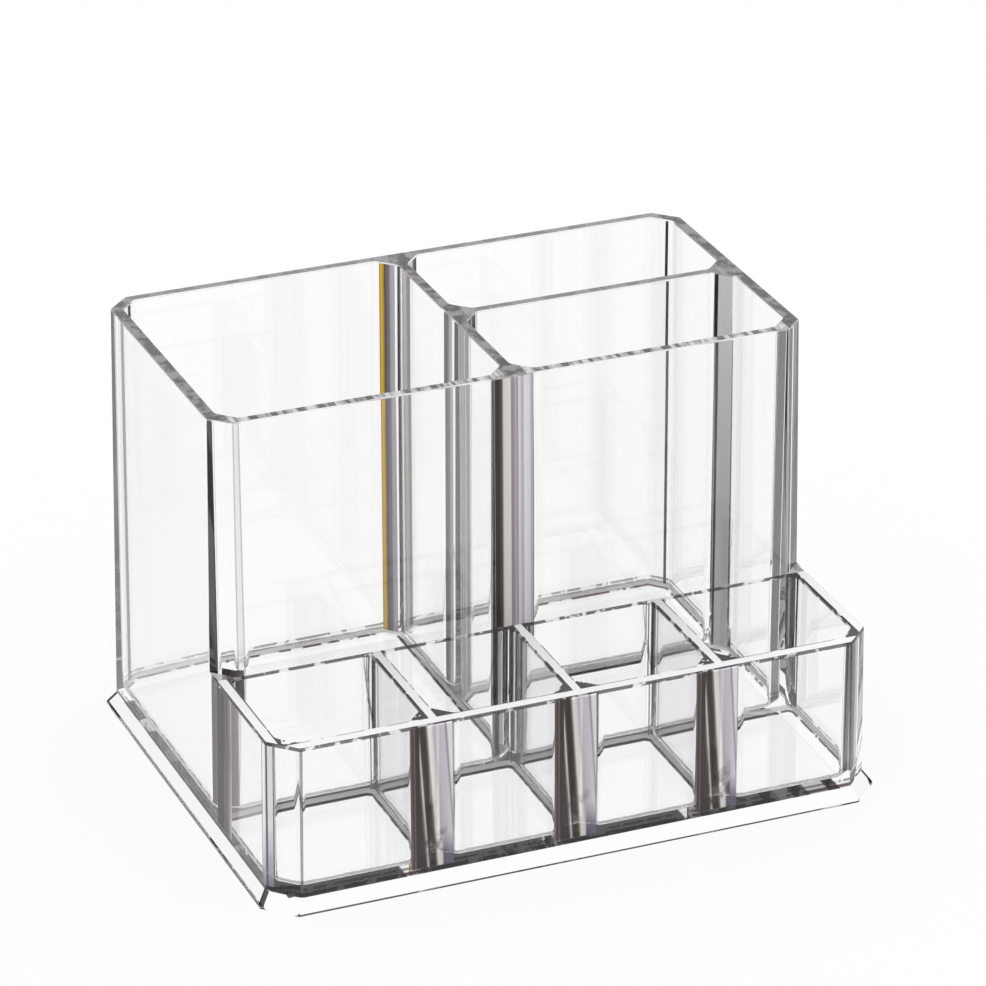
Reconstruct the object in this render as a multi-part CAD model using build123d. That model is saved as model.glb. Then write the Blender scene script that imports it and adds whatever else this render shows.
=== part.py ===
from build123d import *
from math import radians, tan
import os

# A clear plastic organiser for a vanity: three tall compartments at the back and a row of four cups
# in front, on one bevelled base. The real object is a single moulding, so the whole moulding is
# shaped first, and then parted into its base, walls and dividers. They meet face to face, with
# nothing added and nothing lost.
#
# Millimetres, +Z up, the origin at the middle of the underside, the cups towards -Y.

# ---- overall ----
base_width = 178.5
base_depth = 141.2
tall_height = 121.5
low_height = 48.0

# ---- base ----
base_edge = 0.8               # upright edge under the bevel
bevel_top = 4.2               # height where the bevel ends and the walls rise
bevel_run = 2.4               # how far the bevel stands out from the foot of the walls
base_corner = 8.0             # leg of the 45 degree corner cuts at the bottom edge
floor_height = 5.7            # floor of every compartment and cup
cove = 1.8                    # radius where the floors turn up into the walls
footing = 0.2                 # upright stretch above the coves, which belongs to the base

# ---- outside of the walls ----
outer_draft = 0.9             # degrees: the outside leans in towards the rims
wall_corner = 7.4             # leg of the corner cuts at the foot of the walls
tall_front_corner = 5.0       # leg of the tall section's front corner cuts, at its rim
corner_round = 1.5            # radius on both edges of a corner cut
tall_front_y = -22.65         # front face of the tall section, at its rim

# ---- compartments, measured at the tall rim ----
pocket_draft = 0.25           # degrees: every compartment and cup narrows towards its floor
pocket_corner = 4.8           # leg of their corner cuts, which leave webs where walls meet
pocket_round = 2.0            # radius on both edges of a corner cut
tall_inner_x = 81.7           # inside of the tall side walls
tall_inner_front = -19.75
tall_inner_back = 63.4
centre_thickness = 3.0
cross_thickness = 2.9         # the wall that parts the two compartments on the right
cross_y = 21.8

# ---- cups, measured at the low rim ----
cups_inner_x = 82.9           # inside of the low side walls
cups_inner_front = -64.0
cup_divider_thickness = 3.2
cup_divider_x = 41.0          # middle of an outer cup divider

# ---- worked out ----
base_top = floor_height + cove + footing
outer_lean = tan(radians(outer_draft))
foot_width = base_width - 2 * bevel_run
foot_depth = base_depth - 2 * bevel_run
rim_half_width = foot_width / 2 - (tall_height - bevel_top) * outer_lean
cups_inner_back = tall_front_y - (tall_height - low_height) * outer_lean
centre_x = centre_thickness / 2
cross_front = cross_y - cross_thickness / 2
cross_back = cross_y + cross_thickness / 2
clear = 20.0                  # how far a cutting shape passes the moulding


def plan(left, right, front, back, front_cut=0, back_cut=0):
    """Plan outline with its front and back corners cut off at 45 degrees."""
    outline = Pos((left + right) / 2, (front + back) / 2) * Rectangle(right - left, back - front)
    if front_cut:
        outline = chamfer(outline.vertices().sort_by(Axis.Y)[:2], front_cut)
    if back_cut:
        outline = chamfer(outline.vertices().sort_by(Axis.Y)[-2:], back_cut)
    return outline


def centred_plan(width, depth, cut):
    return plan(-width / 2, width / 2, -depth / 2, depth / 2, cut, cut)


def drafted(outline, bottom, top, draft_angle, true_height):
    """Prism whose sides lean in upwards; it has the size of its outline at true_height."""
    prism = extrude(Pos(0, 0, bottom) * outline, amount=top - bottom)
    sides = [face for face in prism.faces() if abs(face.normal_at().Z) < 0.5]
    return draft(sides, Plane.XY.offset(true_height), draft_angle)


def sunk(outline, rim):
    """Space from an outline at rim height down to the floor, with the draft of a pocket."""
    return drafted(outline, floor_height, rim, -pocket_draft, rim)


def upright(edge):
    return abs(edge.tangent_at(0.5).Z) > 0.9


def rounded(space, square_from=1000.0):
    """Rounds the edges of the corner cuts; edges behind square_from are square corners and stay."""
    edges = [edge for edge in space.edges().filter_by(upright) if edge.center().Y < square_from]
    return fillet(edges, pocket_round)


def pocket(space):
    """A compartment or cup: its space, with a cove round the floor."""
    floor = space.faces().sort_by(Axis.Z)[0]
    return fillet(floor.edges(), cove)


# ---- outside: a drafted block, stepped down in front of the tall section ----
foot = centred_plan(foot_width, foot_depth, wall_corner)
block = drafted(foot, bevel_top, tall_height, outer_draft, bevel_top)

cut_x = rim_half_width - tall_front_corner
cut_end = tall_front_corner + clear
tall_outline = Polygon(
    (-cut_x, tall_front_y),
    (cut_x, tall_front_y),
    (cut_x + cut_end, tall_front_y + cut_end),
    (-cut_x - cut_end, tall_front_y + cut_end),
    align=None,
)
tall_front = drafted(tall_outline, low_height, tall_height, outer_draft, tall_height)
step_outline = plan(-base_width, base_width, -base_depth, tall_front_y + tall_front_corner + clear / 2)
step = extrude(Pos(0, 0, low_height) * step_outline, amount=tall_height)
outside = block - (step - tall_front)
outside = fillet(outside.edges().filter_by(upright), corner_round)

# ---- base: an upright edge and a bevel with mitred corners ----
base_outline = centred_plan(base_width, base_depth, base_corner)
edge_band = extrude(base_outline, amount=base_edge)
bevel = loft([Pos(0, 0, base_edge) * base_outline, Pos(0, 0, bevel_top) * foot], ruled=True)
outside = outside + edge_band + bevel

# ---- compartments and cups ----
cut = pocket_corner
compartments = [
    plan(-tall_inner_x, -centre_x, tall_inner_front, tall_inner_back, cut, cut),
    plan(centre_x, tall_inner_x, tall_inner_front, cross_front, cut, cut),
    plan(centre_x, tall_inner_x, cross_back, tall_inner_back, cut, cut),
]
half_divider = cup_divider_thickness / 2
divider_middles = (-cup_divider_x, 0, cup_divider_x)
cup_lefts = [-cups_inner_x] + [x + half_divider for x in divider_middles]
cup_rights = [x - half_divider for x in divider_middles] + [cups_inner_x]
cups = [
    plan(left, right, cups_inner_front, cups_inner_back, cut)
    for left, right in zip(cup_lefts, cup_rights)
]
cups_middle = (cups_inner_front + cups_inner_back) / 2
compartment_spaces = [rounded(sunk(outline, tall_height)) for outline in compartments]
cup_spaces = [rounded(sunk(outline, low_height), cups_middle) for outline in cups]
moulding = outside
for space in compartment_spaces + cup_spaces:
    moulding = moulding - pocket(space)

# ---- parting: the base below, the dividers inside the bays, the outer walls round them ----
base = split(moulding, bisect_by=Plane.XY.offset(base_top), keep=Keep.BOTTOM)
upper = split(moulding, bisect_by=Plane.XY.offset(base_top), keep=Keep.TOP)

tall_bay_outline = plan(-tall_inner_x, tall_inner_x, tall_inner_front, tall_inner_back, cut, cut)
tall_bay = rounded(sunk(tall_bay_outline, tall_height))
cups_bay_outline = plan(-cups_inner_x, cups_inner_x, cups_inner_front, cups_inner_back, cut)
cups_bay = rounded(sunk(cups_bay_outline, low_height), cups_middle)
outer_walls = upper - tall_bay - cups_bay

tall_dividers = upper & tall_bay
beside_centre = sunk(
    plan(centre_x, tall_inner_x + clear, cross_front - clear, cross_back + clear), tall_height
)
centre_divider = tall_dividers - beside_centre
cross_divider = tall_dividers & beside_centre
cup_dividers = (upper & cups_bay).solids().sort_by(Axis.X)

# The outer walls part in front of the tall section, and where the side walls' insides run.
section_line = Plane((0, cups_inner_back - 0.5, 0), z_dir=(0, 1, 0))
tall_walls = split(outer_walls, bisect_by=section_line, keep=Keep.TOP)
low_walls = split(outer_walls, bisect_by=section_line, keep=Keep.BOTTOM)
between_tall = sunk(plan(-tall_inner_x, tall_inner_x, -base_depth, base_depth), tall_height)
between_low = sunk(plan(-cups_inner_x, cups_inner_x, -base_depth, base_depth), low_height)
tall_sides = (tall_walls - between_tall).solids().sort_by(Axis.X)
tall_cross_walls = (tall_walls & between_tall).solids().sort_by(Axis.Y)
low_sides = (low_walls - between_low).solids().sort_by(Axis.X)
low_front_wall = low_walls & between_low

members = {
    "bevelled_base": base,
    "left_tall_wall": tall_sides[0],
    "right_tall_wall": tall_sides[1],
    "back_wall": tall_cross_walls[1],
    "tall_front_wall": tall_cross_walls[0],
    "left_low_wall": low_sides[0],
    "right_low_wall": low_sides[1],
    "low_front_wall": low_front_wall,
    "centre_divider": centre_divider,
    "cross_divider": cross_divider,
    "cup_divider_left": cup_dividers[0],
    "cup_divider_middle": cup_dividers[1],
    "cup_divider_right": cup_dividers[2],
}

os.makedirs("parts", exist_ok=True)
for name, member in members.items():
    member.label = name
    export_step(member, f"parts/{name}.step")
    print(f"{name}: {len(member.solids())} solid, {member.volume / 1000:.1f} cm3")
left_over = moulding.volume - sum(member.volume for member in members.values())
print(f"whole moulding {moulding.volume / 1000:.1f} cm3, left over {left_over:.2f} mm3")
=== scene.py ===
import bpy
import bmesh
from math import cos, pi, radians, sin, sqrt, tan
from mathutils import Matrix, Vector


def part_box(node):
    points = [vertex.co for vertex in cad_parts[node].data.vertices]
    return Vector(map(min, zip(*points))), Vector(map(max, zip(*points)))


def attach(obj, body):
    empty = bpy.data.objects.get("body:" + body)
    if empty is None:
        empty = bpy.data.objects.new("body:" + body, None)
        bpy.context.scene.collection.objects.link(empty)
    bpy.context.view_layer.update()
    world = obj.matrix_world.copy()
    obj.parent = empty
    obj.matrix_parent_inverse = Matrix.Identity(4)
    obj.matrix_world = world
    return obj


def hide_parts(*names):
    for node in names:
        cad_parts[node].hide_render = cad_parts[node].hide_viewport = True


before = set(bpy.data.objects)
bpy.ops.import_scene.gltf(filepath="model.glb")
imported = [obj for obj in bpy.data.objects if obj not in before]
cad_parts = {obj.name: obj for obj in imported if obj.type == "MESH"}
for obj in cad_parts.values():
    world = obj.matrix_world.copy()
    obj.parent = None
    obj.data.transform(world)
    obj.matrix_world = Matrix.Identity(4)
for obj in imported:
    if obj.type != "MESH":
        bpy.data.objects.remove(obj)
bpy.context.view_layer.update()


# ---- Camera ----
# The photograph looks down on the front left corner from about arm's length and a half, through a long
# lens. The picture is square, 986 pixels a side.
camera_turn = radians(22.489)
camera_dip = radians(25.497)
camera_distance = 1.4347
camera_aim = Vector((0.0027, -0.0001, 0.0765))

camera_data = bpy.data.cameras.new("camera")
camera_data.lens = 192.8
camera_data.sensor_width = 36
camera_data.clip_end = 50
camera = bpy.data.objects.new("camera", camera_data)
view_line = Vector((sin(camera_turn) * cos(camera_dip), cos(camera_turn) * cos(camera_dip),
                    -sin(camera_dip)))
camera.location = camera_aim - camera_distance * view_line
camera.rotation_euler = (pi / 2 - camera_dip, 0, -camera_turn)
bpy.context.scene.collection.objects.link(camera)
bpy.context.scene.camera = camera


# ---- The moulding's outside ----
# The organiser is one injection moulding in clear plastic. Its outside is a block with cut corners that
# narrows upwards, stepped down in front to the height of the cups, on a base plate with a bevelled edge.
mm = 0.001
base_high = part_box("bevelled_base")[1]
tall_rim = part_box("back_wall")[1].z
low_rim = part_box("low_front_wall")[1].z
plate_half_width, plate_half_depth = base_high.x, base_high.y
joint_height = base_high.z
plate_edge, plate_top, bevel_run = 0.8 * mm, 4.2 * mm, 2.4 * mm
plate_corner, wall_corner, tall_front_corner = 8.0 * mm, 7.4 * mm, 5.0 * mm
foot_half_width = plate_half_width - bevel_run
foot_half_depth = plate_half_depth - bevel_run
outer_draft = tan(radians(0.9))
outer_round = 1.5 * mm
arc_steps = 6
tall_front = -22.65 * mm
corner_gain = 2 - sqrt(2)  # how much longer a 45 degree cut gets for each step outwards of the outline


def rounded(corners):
    """An outline, counter-clockwise, from corners (x, y, radius); each radius becomes an arc."""
    points = []
    for k, (x, y, radius) in enumerate(corners):
        corner = Vector((x, y))
        if radius == 0:
            points.append(corner)
            continue
        back = (Vector(corners[k - 1][:2]) - corner).normalized()
        ahead = (Vector(corners[(k + 1) % len(corners)][:2]) - corner).normalized()
        half_angle = back.angle(ahead) / 2
        centre = corner + (back + ahead).normalized() * (radius / sin(half_angle))
        spoke = corner + back * (radius / tan(half_angle)) - centre
        turn = (pi - 2 * half_angle) * (1 if back.cross(ahead) < 0 else -1)
        for step in range(arc_steps + 1):
            points.append(centre + Matrix.Rotation(turn * step / arc_steps, 2) @ spoke)
    return points


def cut_plan(half_width, half_depth, cut, radius=0.0):
    """A rectangle about the middle, with its four corners cut at 45 degrees."""
    x, y = half_width, half_depth
    plan = [(-x + cut, -y), (x - cut, -y), (x, -y + cut), (x, y - cut),
            (x - cut, y), (-x + cut, y), (-x, y - cut), (-x, -y + cut)]
    return rounded([(a, b, radius) for a, b in plan])


def lofted(name, rings):
    """A closed solid through rings (outline, height), from the lowest up."""
    shape = bmesh.new()
    layers = [[shape.verts.new((p.x, p.y, z)) for p in outline] for outline, z in rings]
    for lower, upper in zip(layers, layers[1:]):
        for k in range(len(lower)):
            shape.faces.new((lower[k - 1], lower[k], upper[k], upper[k - 1]))
    shape.faces.new(layers[0][::-1])
    shape.faces.new(layers[-1])
    bmesh.ops.recalc_face_normals(shape, faces=shape.faces)
    mesh = bpy.data.meshes.new(name)
    shape.to_mesh(mesh)
    shape.free()
    solid = bpy.data.objects.new(name, mesh)
    bpy.context.scene.collection.objects.link(solid)
    return solid


def baked(solid):
    """Turns an object's modifiers into plain mesh."""
    depsgraph = bpy.context.evaluated_depsgraph_get()
    mesh = bpy.data.meshes.new_from_object(solid.evaluated_get(depsgraph))
    solid.modifiers.clear()
    solid.data = mesh


def combined(solid, tool, operation):
    """Joins, cuts or intersects a solid with a tool, which is used up."""
    boolean = solid.modifiers.new("boolean", "BOOLEAN")
    boolean.object = tool
    boolean.operation = operation
    boolean.solver = "EXACT"
    baked(solid)
    bpy.data.objects.remove(tool)


def wall_plan(z):
    narrower = (z - plate_top) * outer_draft
    return cut_plan(foot_half_width - narrower, foot_half_depth - narrower,
                    wall_corner - corner_gain * narrower, outer_round)


def step_plan(z):
    """What is taken away in front of the tall compartments at a height."""
    wider = (tall_rim - z) * outer_draft
    front = tall_front - wider
    side = foot_half_width - (tall_rim - plate_top) * outer_draft + wider
    turn_x = side - tall_front_corner - corner_gain * wider
    far = 2 * plate_half_width
    return rounded([(-far, -far, 0), (far, -far, 0), (far, front + far - turn_x, 0),
                    (turn_x, front, outer_round), (-turn_x, front, outer_round),
                    (-far, front + far - turn_x, 0)])


overlap = 2 * mm
seat = 0.05 * mm  # the plate's bevel runs this far in under the walls
plug_height = 0.4 * mm  # the plate reaches this far up into the walls, where the union takes it in
moulding = lofted("moulding", [(wall_plan(z), z) for z in (plate_top - overlap, tall_rim)])
combined(moulding, lofted("step", [(step_plan(z), z) for z in (low_rim, tall_rim + overlap)]), "DIFFERENCE")
plate = lofted("plate", [
    (cut_plan(plate_half_width, plate_half_depth, plate_corner), 0.0),
    (cut_plan(plate_half_width, plate_half_depth, plate_corner), plate_edge),
    (cut_plan(foot_half_width - seat, foot_half_depth - seat, wall_corner), plate_top),
    (cut_plan(foot_half_width - overlap, foot_half_depth - overlap, wall_corner), plate_top + plug_height),
])
combined(moulding, plate, "UNION")


# ---- The seven hollows ----
# Three tall compartments and four cups, each left by a core of the mould: cut corners, walls that widen
# towards the rim so that the core comes out, and a cove where they turn into the floor.
class Signal:
    """An output of a node that can be used in sums, as a number can."""

    def __init__(self, board, socket):
        self.board, self.socket = board, socket

    def _math(self, operation, *values):
        return self.board.node("ShaderNodeMath", {"operation": operation}, dict(enumerate(values)))[0]

    def __add__(self, other):
        return self._math("ADD", self, other)

    def __sub__(self, other):
        return self._math("SUBTRACT", self, other)

    def __rsub__(self, other):
        return self._math("SUBTRACT", other, self)

    def __mul__(self, other):
        return self._math("MULTIPLY", self, other)

    def __truediv__(self, other):
        return self._math("DIVIDE", self, other)

    def __mod__(self, other):
        return self._math("FLOORED_MODULO", self, other)

    def __rpow__(self, other):
        return self._math("POWER", other, self)

    def __gt__(self, other):
        return self._math("GREATER_THAN", self, other)

    def __lt__(self, other):
        return self._math("LESS_THAN", self, other)

    def __abs__(self):
        return self._math("ABSOLUTE", self)

    def at_least(self, other):
        return self._math("MAXIMUM", self, other)

    def at_most(self, other):
        return self._math("MINIMUM", self, other)

    def held(self, low, high):
        return self.at_least(low).at_most(high)

    def between(self, low, high):
        return (self > low) * (self < high)

    __radd__ = __add__
    __rmul__ = __mul__


class Placed:
    """A node on a board, whose outputs are read by name or number."""

    def __init__(self, board, made):
        self.board, self.made = board, made

    def __getitem__(self, name):
        return Signal(self.board, self.made.outputs[name])


class Board:
    """A node tree under construction."""

    def __init__(self, tree):
        self.tree = tree
        tree.nodes.clear()

    def node(self, kind, settings=(), sockets=()):
        """Places a node: first its settings, then a value, a signal or a list of signals per socket."""
        made = self.tree.nodes.new(kind)
        for name, value in dict(settings).items():
            if name == "stops":
                ramp = made.color_ramp
                while len(ramp.elements) < len(value):
                    ramp.elements.new(0.5)
                for element, (place, colour) in zip(ramp.elements, value):
                    element.position = place
                    element.color = (*colour, 1)
            else:
                setattr(made, name, value)
        for name, value in dict(sockets).items():
            for one in value if isinstance(value, list) else [value]:
                if isinstance(one, Signal):
                    self.tree.links.new(one.socket, made.inputs[name])
                else:
                    made.inputs[name].default_value = one
        return Placed(self, made)


core_tree = bpy.data.node_groups.new("core", "GeometryNodeTree")
core_inputs = {"Left": "Float", "Right": "Float", "Front": "Float", "Back": "Float", "Rim": "Float",
               "Floor": "Float", "Front Corner": "Float", "Back Corner": "Float", "Corner Round": "Float",
               "Draft": "Float", "Cove": "Float", "Headroom": "Float", "Plastic": "Material"}
core_sockets = {name: core_tree.interface.new_socket(name, in_out="INPUT", socket_type=f"NodeSocket{kind}")
                for name, kind in core_inputs.items()}
core_tree.interface.new_socket("Geometry", in_out="OUTPUT", socket_type="NodeSocketGeometry")
board = Board(core_tree)
given = board.node("NodeGroupInput")
top = given["Rim"] + given["Headroom"]
wider = given["Headroom"] * given["Draft"]
left, front = given["Left"] - wider, given["Front"] - wider
right, back = given["Right"] + wider, given["Back"] + wider
outline = board.node("GeometryNodeCurvePrimitiveQuadrilateral", {"mode": "RECTANGLE"},
                     {"Width": right - left, "Height": back - front})
at_back = board.node("GeometryNodeInputIndex")["Index"] < 2
cut = given["Front Corner"] + at_back * (given["Back Corner"] - given["Front Corner"])
outline = board.node("GeometryNodeFilletCurve", {"mode": "POLY"},
                     {"Curve": outline["Curve"], "Count": 1, "Radius": cut})
outline = board.node("GeometryNodeFilletCurve", {"mode": "POLY"},
                     {"Curve": outline["Curve"], "Count": arc_steps, "Radius": given["Corner Round"],
                      "Limit Radius": True})
middle = board.node("ShaderNodeCombineXYZ", (), {0: (left + right) / 2, 1: (front + back) / 2, 2: top})
outline = board.node("GeometryNodeTransform", (), {"Geometry": outline["Curve"], "Translation": middle[0]})
# The core's section is swept round the outline: x runs outwards from it and y runs down.
drop = top - given["Floor"] - given["Cove"]
lean = drop * given["Draft"]
wall_foot = board.node("ShaderNodeCombineXYZ", (), {0: 0 - lean, 1: drop})
wall_line = board.node("GeometryNodeCurvePrimitiveLine", (), {"End": wall_foot[0]})
cove_steps = 10
cove_arc = board.node("GeometryNodeCurveArc", {"mode": "RADIUS"},
                      {"Resolution": cove_steps, "Radius": given["Cove"], "Start Angle": 0.0,
                       "Sweep Angle": pi / 2})
cove_centre = board.node("ShaderNodeCombineXYZ", (), {0: 0 - lean - given["Cove"], 1: drop})
cove_arc = board.node("GeometryNodeTransform", (),
                      {"Geometry": cove_arc["Curve"], "Translation": cove_centre[0]})
section = board.node("GeometryNodeJoinGeometry", (), {0: [wall_line["Curve"], cove_arc["Geometry"]]})
skin = board.node("GeometryNodeCurveToMesh", (),
                  {"Curve": outline["Geometry"], "Profile Curve": section[0]})
weld = 0.001 * mm
skin = board.node("GeometryNodeMergeByDistance", (), {"Geometry": skin["Mesh"], "Distance": weld})
lid = board.node("GeometryNodeFillCurve", {"mode": "NGONS"}, {"Curve": outline["Geometry"]})
lid_height = board.node("ShaderNodeCombineXYZ", (), {2: top})
lid = board.node("GeometryNodeTransform", (), {"Geometry": lid["Mesh"], "Translation": lid_height[0]})
height = board.node("ShaderNodeSeparateXYZ", (), {0: board.node("GeometryNodeInputPosition")[0]})["Z"]
floor_edge = board.node("GeometryNodeMeshToCurve", (),
                        {"Mesh": skin["Geometry"], "Selection": height < given["Floor"] + 10 * weld})
floor_face = board.node("GeometryNodeFillCurve", {"mode": "NGONS"}, {"Curve": floor_edge["Curve"]})
floor_height = board.node("ShaderNodeCombineXYZ", (), {2: given["Floor"]})
floor_face = board.node("GeometryNodeTransform", (),
                        {"Geometry": floor_face["Mesh"], "Translation": floor_height[0]})
core = board.node("GeometryNodeJoinGeometry", (),
                  {0: [skin["Geometry"], lid["Geometry"], floor_face["Geometry"]]})
core = board.node("GeometryNodeMergeByDistance", (), {"Geometry": core[0], "Distance": weld})
core = board.node("GeometryNodeRealizeInstances", (), {"Geometry": core["Geometry"]})
core = board.node("GeometryNodeSetMaterial", (),
                  {"Geometry": core["Geometry"], "Material": given["Plastic"]})
board.node("NodeGroupOutput", (), {0: core["Geometry"]})

plastic = bpy.data.materials.new("clear_plastic")
plastic.use_nodes = True
core_mark = bpy.data.materials.new("core_mark")
joint_mark = bpy.data.materials.new("joint_mark")
marks = (plastic, core_mark, joint_mark)


def marked(solid, mark):
    """Gives every face of a solid one of the marks, which tell later how the face was made."""
    solid.data.materials.clear()
    for material in marks:
        solid.data.materials.append(material)
    for face in solid.data.polygons:
        face.material_index = marks.index(mark)


marked(moulding, plastic)


def hollow(left, right, front, back, rim, back_corner):
    """Takes one core out of the moulding."""
    solid = bpy.data.objects.new("core", bpy.data.meshes.new("core"))
    bpy.context.scene.collection.objects.link(solid)
    nodes = solid.modifiers.new("core", "NODES")
    nodes.node_group = core_tree
    values = {"Left": left, "Right": right, "Front": front, "Back": back, "Rim": rim, "Floor": floor_top,
              "Front Corner": core_corner, "Back Corner": back_corner, "Corner Round": core_round,
              "Draft": core_draft, "Cove": cove, "Headroom": overlap, "Plastic": plastic}
    for name, value in values.items():
        nodes[core_sockets[name].identifier] = value
    baked(solid)
    shape = bmesh.new()
    shape.from_mesh(solid.data)
    bmesh.ops.recalc_face_normals(shape, faces=shape.faces)
    shape.to_mesh(solid.data)
    shape.free()
    marked(solid, core_mark)
    combined(moulding, solid, "DIFFERENCE")


floor_top, cove = 5.7 * mm, 1.8 * mm
core_draft = tan(radians(0.25))
core_corner, core_round, cup_back_corner = 4.8 * mm, 2.5 * mm, 1.72 * mm
tall_side, tall_inner_front, tall_inner_back = 81.7 * mm, -19.75 * mm, 63.4 * mm
centre_half, cross_front, cross_back = 1.5 * mm, 20.35 * mm, 23.25 * mm
for left_x, right_x, front_y, back_y in (
    (-tall_side, -centre_half, tall_inner_front, tall_inner_back),
    (centre_half, tall_side, tall_inner_front, cross_front),
    (centre_half, tall_side, cross_back, tall_inner_back),
):
    hollow(left_x, right_x, front_y, back_y, tall_rim, core_corner)

cup_side, cup_front, web_half, web_x = 82.9 * mm, -64.0 * mm, 1.6 * mm, 41.0 * mm
cup_back = tall_front - (tall_rim - low_rim) * outer_draft
webs = (-web_x, 0.0, web_x)
cup_lefts = [-cup_side] + [x + web_half for x in webs]
cup_rights = [x - web_half for x in webs] + [cup_side]
for left_x, right_x in zip(cup_lefts, cup_rights):
    hollow(left_x, right_x, cup_front, cup_back, low_rim, cup_back_corner)


# ---- The rims and edges ----
# The mould leaves no edge quite sharp: the rims are rounded over on both sides, and the plate's edges
# are eased a little.
rim_round, plate_round = 0.45 * mm, 0.2 * mm
same_place = 0.01 * mm
rounding_end = -21 * mm  # behind here the low rim's outer edges stay sharp, beside the tall section's cuts


def is_arris(edge):
    """An edge that stands outwards, between faces that clearly turn there."""
    return len(edge.link_faces) == 2 and edge.is_convex and edge.calc_face_angle() > radians(20)


def eased(radius, segments, chosen):
    """Rounds over the outward edges that a test picks."""
    shape = bmesh.new()
    shape.from_mesh(moulding.data)
    bmesh.ops.remove_doubles(shape, verts=shape.verts, dist=same_place)
    bmesh.ops.dissolve_limit(shape, angle_limit=radians(0.3), verts=shape.verts, edges=shape.edges)
    everything = shape.verts[:] + shape.edges[:] + shape.faces[:]
    bmesh.ops.bisect_plane(shape, geom=everything, dist=same_place / 100,
                           plane_co=(0, rounding_end, 0), plane_no=(0, 1, 0))
    edges = [edge for edge in shape.edges if is_arris(edge) and chosen(edge)]
    bmesh.ops.bevel(shape, geom=edges, offset=radius, offset_type="OFFSET", segments=segments, profile=0.5,
                    affect="EDGES", clamp_overlap=False)
    shape.to_mesh(moulding.data)
    shape.free()


def at_height(edge, z):
    return all(abs(end.co.z - z) < same_place for end in edge.verts)


def on_rim(edge):
    """The rims' edges, but not those that run into the tall front wall at the cups' back corners."""
    inside = max(abs(end.co.x) for end in edge.verts) < cup_side + 5 * same_place
    limit = cup_back - rim_round - 5 * same_place if inside else rounding_end + same_place
    in_front = max(end.co.y for end in edge.verts) < limit
    return at_height(edge, tall_rim) or at_height(edge, low_rim) and in_front


def on_plate(edge):
    return max(end.co.z for end in edge.verts) < plate_top + same_place


eased(rim_round, 4, on_rim)
eased(plate_round, 2, on_plate)


# ---- The plastic ----
# Clear styrene, colourless through a wall. The webs in the corners bend the light like prisms, into grey,
# mauve and amber stripes; the rims and the coves look grey, because light is caught between the walls.
# These stripes and greys, and the marks below, are painted light and shade: colour on the plastic and on a
# matt layer over it, not left to the light.
board = Board(plastic.node_tree)
place = board.node("ShaderNodeTexCoord")["Object"]
along = board.node("ShaderNodeSeparateXYZ", (), {0: place})
x, y, z = along["X"], along["Y"], along["Z"]
from_middle, low_share = abs(x), z / low_rim
slow = board.node("ShaderNodeTexNoise", (), {"Vector": place, "Scale": 45.0, "Detail": 2.0})["Fac"]
fine = board.node("ShaderNodeTexNoise", (), {"Vector": place, "Scale": 420.0, "Detail": 3.0})["Fac"]
blotch = board.node("ShaderNodeTexNoise", (), {"Vector": place, "Scale": 260.0, "Detail": 3.0})["Fac"]


def face_value(name):
    reader = {"attribute_type": "GEOMETRY", "attribute_name": name}
    return board.node("ShaderNodeAttribute", reader)["Fac"]


def ramp(factor, stops):
    return board.node("ShaderNodeValToRGB", {"stops": stops}, {0: factor})[0]


def blended(factor, colour, other, blend="MIX"):
    """A mix of two colours, or their product."""
    mixing = {"data_type": "RGBA", "blend_type": blend}
    return board.node("ShaderNodeMix", mixing, {"Factor": factor, 6: colour, 7: other})[2]


bright, clean = (0.998, 0.998, 0.999, 1), (1, 1, 1, 1)
outer, web_share = face_value("outer"), face_value("web_share")

# The webs are of four kinds, by their corner in the compartment. Each kind has a fifth of the ramp for the
# painted stripes across it, shade and colour of light bent in the web, from its left edge to its right one;
# the first fifth is for what isn't a web.
web_kinds = 5
front_right, front_left, back_right, back_left = 1, 2, 3, 4
painted_web_colours = {
    front_right: [(0.03, (0.50, 0.46, 0.44)), (0.10, (0.030, 0.022, 0.018)), (0.50, (0.055, 0.042, 0.035)),
                  (0.60, (0.80, 0.76, 0.70)), (0.97, (0.9, 0.88, 0.86))],
    front_left: [(0.03, (0.02, 0.02, 0.02)), (0.26, (0.025, 0.022, 0.025)), (0.32, (0.10, 0.07, 0.09)),
                 (0.50, (0.04, 0.03, 0.035)), (0.56, (0.40, 0.36, 0.44)), (0.68, (0.62, 0.60, 0.68)),
                 (0.74, (1, 1, 1)), (0.97, (0.95, 0.94, 0.95))],
    back_right: [(0.03, (0.45, 0.20, 0.01)), (0.14, (1.0, 0.62, 0.03)), (0.28, (0.62, 0.32, 0.01)),
                 (0.36, (0.05, 0.035, 0.03)), (0.44, (0.14, 0.11, 0.13)), (0.64, (0.24, 0.20, 0.24)),
                 (0.70, (0.50, 0.50, 0.56)), (0.97, (0.60, 0.60, 0.64))],
    back_left: [(0.05, (0.9, 0.9, 0.92)), (0.40, (0.95, 0.95, 0.95)), (0.55, (0.20, 0.17, 0.19)),
                (0.70, (0.03, 0.02, 0.02)), (0.97, (0.05, 0.04, 0.045))],
}
web_stops = [((kind + share) / web_kinds, shade)
             for kind, shades in painted_web_colours.items() for share, shade in shades]
painted_web_stripes = ramp(web_share + (slow - 0.5) * 0.02, web_stops)
web_part = (web_share * web_kinds) % 1


def web_of(kind):
    """Where a face is a web of one kind."""
    return web_share.between(kind / web_kinds, (kind + 1) / web_kinds)
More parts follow.
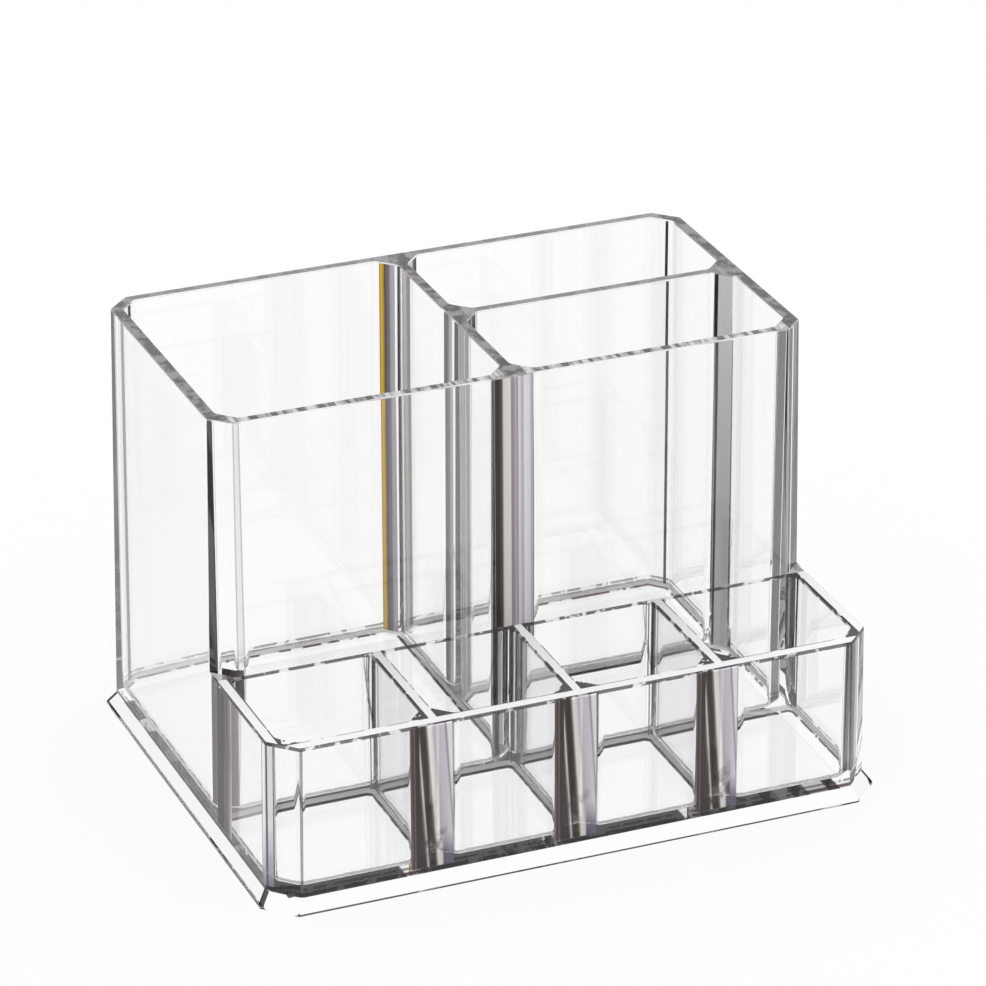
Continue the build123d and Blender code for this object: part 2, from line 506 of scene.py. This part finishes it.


# The dividers' webs and the right low corner's show the painted stripes of bent light; one of the cross
# divider's has a painted mauve line.
side_zone = 60 * mm  # what stands further out belongs to the side walls
cross_zone_front, cross_zone_back = 10 * mm, 40 * mm  # the cross divider and its webs lie between these
is_web = web_share > 0.1
striped_web = is_web * (from_middle < side_zone)
painted_mauve_line = striped_web * y.between(cross_zone_front, cross_zone_back)
painted_mauve_line = painted_mauve_line * web_of(back_left) * (web_part < 0.4)
painted_web_stripes = blended(painted_mauve_line, painted_web_stripes, (0.13, 0.095, 0.115, 1))
striped_web = striped_web + is_web * (x > side_zone) * (y < cup_back) * (z < low_rim)

# Low down, the web in the tall section's left front corner is painted plum-dark, as shade.
painted_plum_web = is_web * (x < -side_zone) * y.between(cup_back, 0) * (z < low_rim)
plum_stops = [(0.42, (0.004, 0.002, 0.002)), (0.48, (0.02, 0.012, 0.014)), (0.57, (0.16, 0.12, 0.14))]

# The other webs of the tall side walls are clear, but for painted dark lines of shade and, in the right
# front corner, a painted dark post of shade. The one at the cross divider's right end is painted whitish, as
# light.
tall_right = (x > side_zone) * (y > cup_back)
right_web = tall_right * web_of(back_right)
painted_dark_post = tall_right * web_of(front_right) * (y < 0)
painted_dark_post = painted_dark_post + right_web * (web_part < 0.16) * (y < cross_zone_back)
painted_dark_post = painted_dark_post + right_web * (web_part > 0.80) * (y > cross_zone_back)
left_web = (x < -side_zone) * (y > cross_zone_back) * web_of(back_left)
painted_dark_post = painted_dark_post + left_web * web_part.between(0.36, 0.66)
cross_end = right_web * (web_part > 0.16) * (y < cross_zone_back)

# Where a divider meets the front wall before it, the post's stripes of bent light are painted on the wall's
# outer face, as shade and colour.
post_left, post_right = -8.0 * mm, 5.0 * mm
past_divider = (x + web_x / 2) % web_x - web_x / 2
swerve = (low_share - 0.5) * 3.0 * mm * (past_divider > -5.0 * mm) * (z < low_rim)
post_share = (past_divider - post_left + swerve) / (post_right - post_left)
tall_post = outer * past_divider.between(-6.3 * mm, 4.6 * mm) * (from_middle < 10 * mm) * (y < 0)
tall_post = tall_post * z.between(low_rim + 0.1 * mm, tall_rim - rim_round)
cup_post = outer * past_divider.between(-7.7 * mm, 4.3 * mm) * (from_middle < side_zone) * (y < cup_front)
cup_post = cup_post * z.between(floor_top, low_rim - rim_round)
tall_stripes = ramp(post_share, [
    (0.13, (1, 1, 1)), (0.14, (0.04, 0.03, 0.025)), (0.22, (0.02, 0.015, 0.012)),
    (0.30, (0.10, 0.075, 0.06)), (0.335, (0.85, 0.80, 0.74)), (0.48, (0.95, 0.93, 0.90)),
    (0.51, (0.33, 0.28, 0.31)), (0.60, (0.50, 0.45, 0.49)), (0.64, (0.30, 0.25, 0.28)),
    (0.67, (0.95, 0.94, 0.96)), (0.76, (0.55, 0.50, 0.58)), (0.79, (0.97, 0.96, 0.98)),
    (0.92, (0.85, 0.83, 0.92)), (0.95, (0.35, 0.30, 0.40)), (0.965, (1, 1, 1))])
cup_stripes = ramp(post_share, [
    (0.03, (0.16, 0.13, 0.12)), (0.09, (0.05, 0.035, 0.035)), (0.12, (0.20, 0.16, 0.14)),
    (0.15, (0.05, 0.035, 0.035)), (0.25, (0.035, 0.025, 0.025)), (0.29, (0.28, 0.25, 0.25)),
    (0.31, (0.85, 0.83, 0.83)), (0.34, (0.10, 0.08, 0.08)), (0.37, (0.02, 0.015, 0.012)),
    (0.46, (0.03, 0.02, 0.015)), (0.50, (0.30, 0.22, 0.16)), (0.53, (1, 0.98, 0.94)),
    (0.60, (0.98, 0.96, 0.94)), (0.64, (0.68, 0.62, 0.66)), (0.74, (0.78, 0.74, 0.79)),
    (0.87, (0.84, 0.81, 0.88)), (0.91, (0.42, 0.34, 0.42)), (0.95, (1, 1, 1))])
# Low down the cups' posts get painted dark patches of shade, and painted violet on the right, as colour of
# bent light.
painted_post_shade = ((blotch - 0.49) * 8.0).held(0, 0.9) * ((0.45 - low_share) * 4.0).held(0, 1)
painted_post_shade = painted_post_shade * past_divider.between(-5.0 * mm, 2.5 * mm)
cup_stripes = blended(painted_post_shade, cup_stripes, (0.05, 0.035, 0.035, 1))
painted_violet_fringe = ((0.32 - low_share) * 6.0).held(0, 0.85) * (past_divider > 1.4 * mm)
cup_stripes = blended(painted_violet_fringe, cup_stripes, (0.07, 0.06, 0.13, 1))

# Beside the step the left wall shows the dark corner behind it, 11 mm wide, painted on its outer face as
# shade.
before_step = (cup_back - y) / (11.0 * mm)
beside_step = outer * (x < -80 * mm) * before_step.between(0, 1) * z.between(floor_top, low_rim - 1.0 * mm)
step_stripes = ramp(before_step + (slow - 0.5) * 0.25, [
    (0.0, (0.02, 0.012, 0.014)), (0.45, (0.02, 0.012, 0.014)), (0.55, (0.13, 0.10, 0.11)),
    (0.65, (0.05, 0.035, 0.04)), (0.85, (0.22, 0.17, 0.19)), (0.97, (0.6, 0.55, 0.57))])

# The left low corner: a painted white strip of light round the arris beside the left wall, lilac at its
# foot and lined in painted grey shade, and a painted grey line of shade along the arris beside the front
# wall. Both follow x - y, which grows from the left wall to the front one.
round_corner = x - y
strip_start, strip_end, front_arris_at = -28.5 * mm, -22.2 * mm, -11.4 * mm
at_left = outer * (x < -75 * mm)
corner_strip = at_left * round_corner.between(strip_start, strip_end)
corner_strip = corner_strip * z.between(floor_top, low_rim - 1.0 * mm)
from_strip_middle = abs(round_corner - (strip_start + strip_end) / 2)
strip_line = (from_strip_middle < 0.4 * mm) + (from_strip_middle > 2.6 * mm)
strip_shade = ramp(low_share, [(0.10, (0.22, 0.21, 0.28)), (0.35, (0.75, 0.75, 0.85)), (0.50, (1, 1, 1))])
strip_shade = blended(strip_line, strip_shade, (0.12, 0.12, 0.13, 1))
front_arris = at_left * (abs(round_corner - front_arris_at) < 0.5 * mm)
front_arris = front_arris * z.between(floor_top, low_rim - 0.5 * mm)

# Painted shade at the foot of every wall, in dark and pale bands: outside above the bevel, and inside over
# the coves, which above their dark line are also painted white, as light.
dark, pale = (0.020, 0.007, 0.009), (0.30, 0.28, 0.30)
foot_share = (z - plate_top) / (floor_top + cove - plate_top)
outer_foot_shade = ramp(foot_share, [
    (0.0, (1, 1, 1)), (0.04, pale), (0.10, dark), (0.36, dark), (0.44, (0.9, 0.9, 0.9)),
    (0.50, (1, 1, 1)), (0.56, pale), (0.75, dark), (0.85, (1, 1, 1))])
cove_foot_shade = ramp(foot_share, [
    (0.47, (1, 1, 1)), (0.49, dark), (0.58, dark), (0.62, (1, 1, 1)), (0.90, (1, 1, 1)),
    (0.94, pale), (0.98, pale), (1.0, (1, 1, 1))])
painted_foot_shade = blended((blotch > 0.54) * 0.75, blended(outer, cove_foot_shade, outer_foot_shade), bright)
painted_cove_light = (1 - outer) * foot_share.between(0.60, 0.95)

# The mitres where the plate's bevel turns at its corners, as painted dark lines of shade on the sides'
# bevels.
side_inset = plate_half_width - from_middle
cut_inset = (side_inset + (plate_half_depth - abs(y)) - plate_corner) / sqrt(2)
cut_run = (2 * bevel_run + wall_corner - plate_corner) / sqrt(2)
off_mitre = abs(side_inset / bevel_run - cut_inset / cut_run)
painted_mitre_line = (off_mitre < 0.28) * z.between(plate_edge, plate_top) * outer

# The low dividers are painted faintly grey, as shade.
from_divider = board.node("ShaderNodeMath", {"operation": "PINGPONG"}, {0: x, 1: web_x / 2})[0]
in_cup = (y < cup_back) * z.between(floor_top + cove, low_rim) * (from_middle < side_zone)
divider_shade = in_cup * (from_divider < 2.4 * mm)

# The rims, in painted light and shade: the tall ones are painted grey, as light caught in the walls, with
# pale rounded edges, the low ones painted white with dark edges. The front one is dashed across, and those
# along the sides and on the centre divider are blotchy.
flat = 0.05 * mm
tall_band = z > tall_rim - rim_round
tall_flat = z > tall_rim - flat
at_low_rim = (z < low_rim + flat) * (y < cup_back)
low_flat = at_low_rim * (z > low_rim - flat)
low_edge = at_low_rim * (z > low_rim - 1.0 * mm) - low_flat
near_cup = (y > cup_front - 0.6 * mm) * (from_middle < cup_side + 0.6 * mm)
near_cup = near_cup * (from_divider > web_half - 0.5 * mm).at_least(from_middle > side_zone)
low_line = (low_edge + low_flat * near_cup) * (blotch > 0.42)
low_shade = blended(low_line, clean, (0.07, 0.065, 0.07, 1))
dashes = board.node("ShaderNodeTexNoise", {"noise_dimensions": "1D"}, {"W": x * 75.0, "Detail": 1.0})["Fac"]
dashes = 0.46 + (dashes - 0.46) * (y < 0)
across = ramp(dashes, [(0.42, (0.16, 0.15, 0.16)), (0.46, (0.38, 0.37, 0.39)), (0.56, (0.80, 0.80, 0.82))])
lengthwise = ramp(blotch, [
    (0.42, (0.11, 0.10, 0.105)), (0.50, (0.23, 0.22, 0.23)), (0.60, (0.34, 0.33, 0.34))])
painted_rim_grey = blended((from_middle > 80 * mm) + (from_middle < 3 * mm), across, lengthwise)

# The painted light and shade over the clear plastic: where, the painted tint of the plastic there, how much
# of it a matt painted layer covers, and that layer's painted colour. None leaves a colour as it is.
painted_coats = (
    (tall_band, None, 0.35, None),
    (tall_flat, None, 0.15 + (blotch > 0.5) * 0.25, painted_rim_grey),
    (low_flat, None, 1.0, low_shade),
    (low_edge, None, 0.35 + (blotch > 0.45) * 0.5, low_shade),
    (painted_cove_light, None, 0.75, None),
    (painted_plum_web, (0.01, 0.005, 0.006, 1), 0.95, ramp(web_share, plum_stops)),
    (corner_strip, None, 0.8, strip_shade),
    (painted_dark_post, (0.02, 0.015, 0.014, 1), 0.85, (0.035, 0.027, 0.025, 1)),
    (cross_end, None, 0.9, clean),
    (beside_step, step_stripes, 0.8, step_stripes),
    (front_arris, None, 0.7, (0.12, 0.12, 0.13, 1)),
    (striped_web, painted_web_stripes, 0.85, painted_web_stripes),
    (tall_post, tall_stripes, 0.85, tall_stripes),
    (cup_post, cup_stripes, 0.70, cup_stripes),
)
tint, painted_cover, painted_cover_colour = bright, 0, clean
for where, painted_tint, strength, painted_colour in painted_coats:
    painted_cover = painted_cover + where * strength
    if painted_tint is not None:
        tint = blended(where, tint, painted_tint)
    if painted_colour is not None:
        painted_cover_colour = blended(where, painted_cover_colour, painted_colour)
# Painted shade in the tint: the walls' feet, the mitre lines and the grey of the low dividers.
tint = blended(1.0, tint, painted_foot_shade, "MULTIPLY")
tint = blended(painted_mitre_line, tint, (0.004, 0.004, 0.004, 1))
tint = blended(divider_shade, tint, (0.88, 0.87, 0.89, 1))

relief = slow * 0.4 + fine * (tall_band + low_flat) * 0.8
bump = board.node("ShaderNodeBump", (), {"Strength": 1.0, "Distance": 0.005 * mm, "Height": relief})
clear = board.node("ShaderNodeBsdfPrincipled", (), {
    "Base Color": tint, "Roughness": fine * 0.02, "IOR": 1.49, "Transmission Weight": 1.0,
    "Normal": bump[0]})
# A matt layer in the painted light and shade colours, mixed over the clear plastic by the painted cover.
painted_matt = board.node("ShaderNodeBsdfPrincipled", (),
                  {"Base Color": painted_cover_colour, "Roughness": 0.4, "IOR": 1.49})
unseen = board.node("ShaderNodeBsdfTransparent")
surface = board.node("ShaderNodeMixShader", (), {0: painted_cover, 1: clear[0], 2: painted_matt[0]})
surface = board.node("ShaderNodeMixShader", (), {0: face_value("parting"), 1: surface[0], 2: unseen[0]})
depth_tint = board.node("ShaderNodeVolumeAbsorption", (), {"Color": (0.10, 0.0, 0.06, 1), "Density": 2.0})
board.node("ShaderNodeOutputMaterial", (), {"Surface": surface[0], "Volume": depth_tint[0]})


# ---- The members ----
# The moulding is parted at its natural lines into the walls, dividers and base that a person would name.
# They lie a hundredth of a millimetre apart, and the faces where they meet don't show.
gap = 0.01 * mm
web_width = sqrt(2) * core_corner - 2 * core_round * tan(pi / 8)


def box(low, high):
    x0, y0, z0 = low
    x1, y1, z1 = high
    plan = [Vector(p) for p in ((x0, y0), (x1, y0), (x1, y1), (x0, y1))]
    solid = lofted("box", [(plan, z0), (plan, z1)])
    marked(solid, joint_mark)
    return solid


def note_faces(mesh):
    """Keeps in attributes what the material reads: joint faces, outer faces, and shares across webs."""
    joint_faces = mesh.attributes.new("parting", "FLOAT", "FACE")
    web_shares = mesh.attributes.new("web_share", "FLOAT", "CORNER")
    outer_faces = mesh.attributes.new("outer", "FLOAT", "FACE")
    for face in mesh.polygons:
        made_by = mesh.materials[face.material_index]
        joint_faces.data[face.index].value = made_by == joint_mark
        outer_faces.data[face.index].value = made_by == plastic
        face.material_index = 0
        normal = face.normal
        diagonal = abs(abs(normal.x) - abs(normal.y)) < 0.03 and abs(normal.z) < 0.3
        if made_by != core_mark or not diagonal:
            continue
        kind = front_right + (normal.x > 0) + 2 * (normal.y < 0)
        rightwards = Vector((abs(normal.y), normal.x if normal.y < 0 else -normal.x, 0))
        for corner in face.loop_indices:
            offset = (mesh.vertices[mesh.loops[corner].vertex_index].co - face.center).dot(rightwards)
            share = min(max(0.5 + offset / web_width, 0.03), 0.97)
            web_shares.data[corner].value = (kind + share) / web_kinds
    for mark in (joint_mark, core_mark):
        mesh.materials.pop(index=mesh.materials.find(mark.name))


def finished(piece, node):
    """Smooths the rounded edges, names the piece and puts it in its node's place."""
    piece.name = node + "_moulded"
    note_faces(piece.data)
    shape = bmesh.new()
    shape.from_mesh(piece.data)
    joint_layer = shape.faces.layers.float["parting"]
    for face in shape.faces:
        face.smooth = True
    for edge in shape.edges:
        faces = edge.link_faces
        edge.smooth = (len(faces) == 2 and edge.calc_face_angle() < radians(30)
                       and faces[0][joint_layer] == faces[1][joint_layer])
    shape.to_mesh(piece.data)
    shape.free()
    normals = piece.modifiers.new("normals", "WEIGHTED_NORMAL")
    normals.keep_sharp = True
    normals.mode = "FACE_AREA"
    baked(piece)
    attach(piece, "root")
    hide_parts(node)


def part_off(node, low, high):
    """Makes a member of what lies in a box, and leaves the rest as the moulding."""
    piece = bpy.data.objects.new(node, moulding.data.copy())
    bpy.context.scene.collection.objects.link(piece)
    combined(piece, box(low, high), "INTERSECT")
    spare = Vector((gap, gap, gap))
    combined(moulding, box(Vector(low) - spare, Vector(high) + spare), "DIFFERENCE")
    finished(piece, node)


# The joint planes, in the order from the middle outwards and from the front to the back. Past a plane, a box
# only has to clear the member and its webs.
cross_joint = 2.05 * mm
side_joint, low_side_joint = 81.15 * mm, 82.65 * mm
low_front_joint, section_joint = -63.75 * mm, -24.3 * mm
tall_front_joint, back_joint = -19.2 * mm, 62.85 * mm
far, web_room = 0.2, 12 * mm
part_off("bevelled_base", (-far, -far, -far), (far, far, joint_height))
part_off("cross_divider", (cross_joint, cross_front - web_room, 0), (side_joint, cross_back + web_room, far))
part_off("centre_divider", (-web_room, tall_front_joint, 0), (web_room, back_joint, far))
part_off("tall_front_wall", (-side_joint, section_joint, 0), (side_joint, tall_inner_front + web_room, far))
part_off("back_wall", (-side_joint, tall_inner_back - web_room, 0), (side_joint, far, far))
for node, middle_x in zip(("cup_divider_left", "cup_divider_middle", "cup_divider_right"), webs):
    part_off(node, (middle_x - web_room, low_front_joint, 0),
             (middle_x + web_room, section_joint - gap, far))
part_off("low_front_wall", (-low_side_joint, -far, 0), (low_side_joint, cup_front + web_room, far))
part_off("left_low_wall", (-far, -far, 0), (0, section_joint, far))
part_off("right_low_wall", (0, -far, 0), (far, section_joint, far))
part_off("left_tall_wall", (-far, -far, 0), (0, far, far))
part_off("right_tall_wall", (0, -far, 0), (far, far, far))
bpy.data.objects.remove(moulding)
for mark in (core_mark, joint_mark):
    bpy.data.materials.remove(mark)


# ---- The floor ----
# A plain white sheet. A moulding this size never lies quite flat, so the sheet presses against the
# underside only in a ring near its outline, and keeps clear of it elsewhere.
sheet_drop, contact_lift, sink = 0.05 * mm, 0.02 * mm, 0.4 * mm
contact_start, contact_end = 1.6 * mm, 9.2 * mm
sheet_reach = 6.0
sheet_rings = ((-sheet_reach, -sheet_drop), (contact_start, -sheet_drop), (contact_start, contact_lift),
               (contact_end, contact_lift), (contact_end, -sink))
sheet_points = []
for inset, height in sheet_rings:
    half_x, half_y = plate_half_width - inset, plate_half_depth - inset
    sheet_points += [(-half_x, -half_y, height), (half_x, -half_y, height),
                     (half_x, half_y, height), (-half_x, half_y, height)]
sheet_faces = []
for ring in range(len(sheet_rings) - 1):
    for k in range(4):
        here, ahead = 4 * ring + k, 4 * ring + (k + 1) % 4
        sheet_faces.append((here, ahead, ahead + 4, here + 4))
sheet_faces.append(tuple(range(len(sheet_points) - 4, len(sheet_points))))
sheet_mesh = bpy.data.meshes.new("floor")
sheet_mesh.from_pydata(sheet_points, [], sheet_faces)
sheet = bpy.data.objects.new("floor", sheet_mesh)
bpy.context.scene.collection.objects.link(sheet)

kept_each = 0.55   # what is left of the light after each further reflection inside the plastic
least_kept = 0.10


def kept(board):
    """The share of the light that is left after a ray's reflections."""
    depth = board.node("ShaderNodeLightPath")["Glossy Depth"]
    return (kept_each ** (depth - 1).at_least(0)).at_least(least_kept)


white = bpy.data.materials.new("white_sheet")
white.use_nodes = True
board = Board(white.node_tree)
rays = board.node("ShaderNodeLightPath")
seen = rays["Is Camera Ray"] * 0.9 + rays["Is Glossy Ray"] + rays["Is Transmission Ray"]
paper = board.node("ShaderNodeBsdfDiffuse", (), {"Color": (0.95, 0.95, 0.95, 1)})
shine = board.node("ShaderNodeEmission", (), {"Strength": kept(board)})
surface = board.node("ShaderNodeMixShader", (), {0: seen, 1: paper[0], 2: shine[0]})
board.node("ShaderNodeOutputMaterial", (), {"Surface": surface[0]})
sheet_mesh.materials.append(white)


# ---- Studio light ----
# A white band all round, darker at the horizon and overhead, and a soft lamp above.
world = bpy.data.worlds.new("studio")
world.use_nodes = True
bpy.context.scene.world = world
board = Board(world.node_tree)
direction = board.node("ShaderNodeTexCoord")["Generated"]
height = board.node("ShaderNodeSeparateXYZ", (), {0: direction})["Z"]
band_stops = [(0.20, (0.04, 0.04, 0.045)), (0.30, (1, 1, 1)), (0.82, (1, 1, 1)), (0.92, (0.08, 0.07, 0.08))]
band = board.node("ShaderNodeValToRGB", {"stops": band_stops}, {0: height})
sky = board.node("ShaderNodeBackground", (), {"Color": band[0], "Strength": kept(board)})
board.node("ShaderNodeOutputWorld", (), {"Surface": sky[0]})

lamp_side, lamp_height, lamp_power = 2.4, 2.0, 20.0
lamp_data = bpy.data.lights.new("overhead_lamp", "AREA")
lamp_data.size = lamp_side
lamp_data.energy = lamp_power
lamp = bpy.data.objects.new("overhead_lamp", lamp_data)
lamp.location = (0, 0, lamp_height)
lamp.visible_glossy = False
lamp.visible_transmission = False
bpy.context.scene.collection.objects.link(lamp)

scene = bpy.context.scene
scene.view_settings.view_transform = "Standard"
scene.cycles.max_bounces = 32
scene.cycles.transmission_bounces = 32
scene.cycles.glossy_bounces = 12
scene.cycles.transparent_max_bounces = 24
